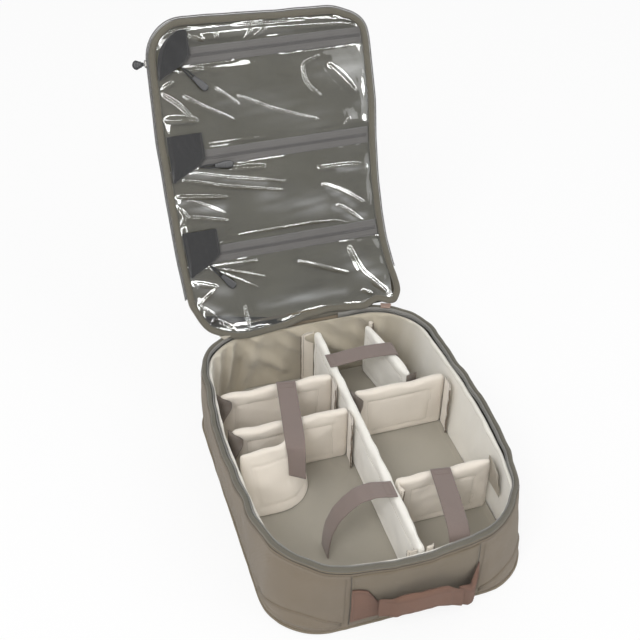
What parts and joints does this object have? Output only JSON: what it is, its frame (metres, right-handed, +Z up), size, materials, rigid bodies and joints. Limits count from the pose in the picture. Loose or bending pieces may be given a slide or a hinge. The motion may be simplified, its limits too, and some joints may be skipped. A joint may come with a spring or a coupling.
{
  "type": "protective bag insert",
  "caption": "Padded fabric tub with loose dividers and webbing straps, a front grab handle and a hinged zip-round lid with clear zipped pockets inside.",
  "frame": {"origin": "middle of the tub's underside, on the surface that it stands on", "axes": "+Z up, +Y towards the lid's hinge, +X to the right seen from the handle"},
  "size_m": [0.346, 0.67, 0.4744],
  "materials": {
    "olive_shell": "matte taupe-olive woven nylon",
    "olive_panel": "matte taupe-olive woven nylon",
    "lid_fabric": "matte olive-grey woven nylon",
    "binding": "ribbed grey-olive binding",
    "beige_liner": "brushed light beige lining",
    "floor_fabric": "brushed grey-beige lining",
    "foam": "closed-cell foam",
    "board": "matte stiffening board",
    "brown_webbing": "taupe-brown webbing",
    "brown_handle": "brown-mauve stitched fabric",
    "hook_brown": "brown hook tape",
    "tab_beige": "light beige folded tape",
    "tab_pink": "pinkish brown folded tape",
    "zip_grey": "grey woven zip tape",
    "coil_grey": "dark grey nylon coil",
    "black_fabric": "matte black coated fabric",
    "black_rubber": "moulded black rubber",
    "slider_metal": "black coated metal",
    "clear_vinyl": "glossy clear vinyl film"
  },
  "bodies": {
    "tub": {"outer_shell": "olive_shell", "base_board": "board", "side_foam": "foam", "wall_liner": "beige_liner", "floor_pad": "floor_fabric", "rim_piping": "binding", "base_piping": "binding", "tub_zip_tape": "zip_grey", "tub_zip_coil": "coil_grey", "front_panel": "olive_panel", "corner_patch_left": "olive_panel", "corner_patch_right": "olive_panel", "handle_patch_left": "brown_handle", "handle_patch_right": "brown_handle", "hinge_strip": "lid_fabric", "zip_end_tab_left": "tab_beige", "zip_end_tab_right": "tab_pink"},
    "lid": {"lid_outer_cover": "lid_fabric", "lid_foam_panel": "foam", "lid_lining": "lid_fabric", "lid_binding": "binding", "lid_zip_tape": "zip_grey", "lid_zip_coil": "coil_grey", "window_strip": "clear_vinyl", "pocket_window_1": "clear_vinyl", "pocket_window_2": "clear_vinyl", "pocket_window_3": "clear_vinyl", "pocket_zip_tape_1": "zip_grey", "pocket_zip_tape_2": "zip_grey", "pocket_zip_tape_3": "zip_grey", "zip_garage_1": "black_fabric", "zip_garage_2": "black_fabric", "zip_garage_3": "black_fabric"},
    "handle": {"handle_grip": "brown_handle"},
    "pocket_slider_1": {"pocket_zip_slider_1": "slider_metal"},
    "pocket_slider_2": {"pocket_zip_slider_2": "slider_metal"},
    "pocket_slider_3": {"pocket_zip_slider_3": "slider_metal"},
    "pocket_pull_1": {"pocket_zip_pull_1": "black_rubber"},
    "pocket_pull_2": {"pocket_zip_pull_2": "black_rubber"},
    "pocket_pull_3": {"pocket_zip_pull_3": "black_rubber"},
    "closing_slider": {"closure_slider": "slider_metal"},
    "closing_pull": {"closure_pull": "black_rubber"},
    "central_divider": {"central_divider": "beige_liner"},
    "short_divider": {"short_divider": "beige_liner", "short_divider_hook_tab": "hook_brown"},
    "left_cross_divider_1": {"left_cross_divider_1": "beige_liner", "left_cross_divider_1_hook_tab": "hook_brown"},
    "left_cross_divider_2": {"left_cross_divider_2": "beige_liner", "left_cross_divider_2_hook_tab": "hook_brown"},
    "curved_divider": {"curved_divider": "beige_liner"},
    "right_cross_divider_1": {"right_cross_divider_1": "beige_liner", "right_cross_divider_1_hook_tab": "hook_brown"},
    "right_cross_divider_2": {"right_cross_divider_2": "beige_liner", "right_cross_divider_2_hook_tab": "hook_brown"},
    "rear_strap": {"rear_strap": "brown_webbing"},
    "floor_strap": {"floor_strap": "brown_webbing"},
    "left_strap": {"left_strap": "brown_webbing"},
    "front_strap": {"front_strap": "brown_webbing"}
  },
  "joints": [
    {"name": "lid_hinge", "type": "hinge", "parent": "tub", "child": "lid", "pos_m": [-0.008, 0.2059, 0.12], "axis": [-1, 0, 0], "range_deg": [-120, 0]},
    {"name": "handle_swing", "type": "hinge", "parent": "tub", "child": "handle", "pos_m": [0, -0.23034, 0.07], "axis": [-1, 0, 0], "range_deg": [0, 60]},
    {"name": "pocket_slider_1_slide", "type": "slide", "parent": "lid", "child": "pocket_slider_1", "axis": [1, 0, 0], "range_m": [0, 0.23]},
    {"name": "pocket_slider_2_slide", "type": "slide", "parent": "lid", "child": "pocket_slider_2", "axis": [1, 0, 0], "range_m": [0, 0.23]},
    {"name": "pocket_slider_3_slide", "type": "slide", "parent": "lid", "child": "pocket_slider_3", "axis": [1, 0, 0], "range_m": [0, 0.23]},
    {"name": "pocket_pull_1_flip", "type": "hinge", "parent": "pocket_slider_1", "child": "pocket_pull_1", "pos_m": [-0.1165, 0.37483, 0.42199], "axis": [-0.7431, -0.3346, -0.5795], "range_deg": [0, 90]},
    {"name": "pocket_pull_2_flip", "type": "hinge", "parent": "pocket_slider_2", "child": "pocket_pull_2", "pos_m": [-0.112, 0.30983, 0.30941], "axis": [-0.0349, -0.4997, -0.8655], "range_deg": [0, 90]},
    {"name": "pocket_pull_3_flip", "type": "hinge", "parent": "pocket_slider_3", "child": "pocket_pull_3", "pos_m": [-0.119, 0.24433, 0.19596], "axis": [-0.766, -0.3214, -0.5567], "range_deg": [0, 90]},
    {"name": "closing_slider_slide", "type": "slide", "parent": "lid", "child": "closing_slider", "axis": [0, 0.5, 0.866], "range_m": [-0.3, 0]},
    {"name": "closing_pull_flip", "type": "hinge", "parent": "closing_slider", "child": "closing_pull", "pos_m": [-0.16364, 0.38693, 0.42656], "axis": [0, 0.5, 0.866], "range_deg": [0, 90]},
    {"name": "central_divider_lift", "type": "slide", "parent": "tub", "child": "central_divider", "axis": [0, 0, 1], "range_m": [0, 0.11]},
    {"name": "short_divider_lift", "type": "slide", "parent": "tub", "child": "short_divider", "axis": [0, 0, 1], "range_m": [0, 0.11]},
    {"name": "left_cross_divider_1_lift", "type": "slide", "parent": "tub", "child": "left_cross_divider_1", "axis": [0, 0, 1], "range_m": [0, 0.11]},
    {"name": "left_cross_divider_2_lift", "type": "slide", "parent": "tub", "child": "left_cross_divider_2", "axis": [0, 0, 1], "range_m": [0, 0.11]},
    {"name": "curved_divider_lift", "type": "slide", "parent": "tub", "child": "curved_divider", "axis": [0, 0, 1], "range_m": [0, 0.11]},
    {"name": "right_cross_divider_1_lift", "type": "slide", "parent": "tub", "child": "right_cross_divider_1", "axis": [0, 0, 1], "range_m": [0, 0.11]},
    {"name": "right_cross_divider_2_lift", "type": "slide", "parent": "tub", "child": "right_cross_divider_2", "axis": [0, 0, 1], "range_m": [0, 0.11]},
    {"name": "rear_strap_swing", "type": "hinge", "parent": "central_divider", "child": "rear_strap", "pos_m": [0.0075, 0.123, 0.0975], "axis": [0, -1, 0], "range_deg": [0, 100]},
    {"name": "floor_strap_swing", "type": "hinge", "parent": "central_divider", "child": "floor_strap", "pos_m": [0.0135, -0.115, 0.0975], "axis": [0, 1, 0], "range_deg": [0, 80]},
    {"name": "left_strap_swing", "type": "hinge", "parent": "left_cross_divider_1", "child": "left_strap", "pos_m": [-0.0575, 0.1005, 0.0975], "axis": [-0.9848, 0.1736, 0], "range_deg": [0, 80]},
    {"name": "front_strap_swing", "type": "hinge", "parent": "right_cross_divider_2", "child": "front_strap", "pos_m": [0.078, -0.1005, 0.0975], "axis": [-0.9877, 0.1564, 0], "range_deg": [0, 100]}
  ],
  "couplings": [
    {"joint": "short_divider_lift", "follows": "central_divider_lift", "ratio": 1},
    {"joint": "left_cross_divider_2_lift", "follows": "left_cross_divider_1_lift", "ratio": 1},
    {"joint": "curved_divider_lift", "follows": "left_cross_divider_1_lift", "ratio": 1}
  ]
}
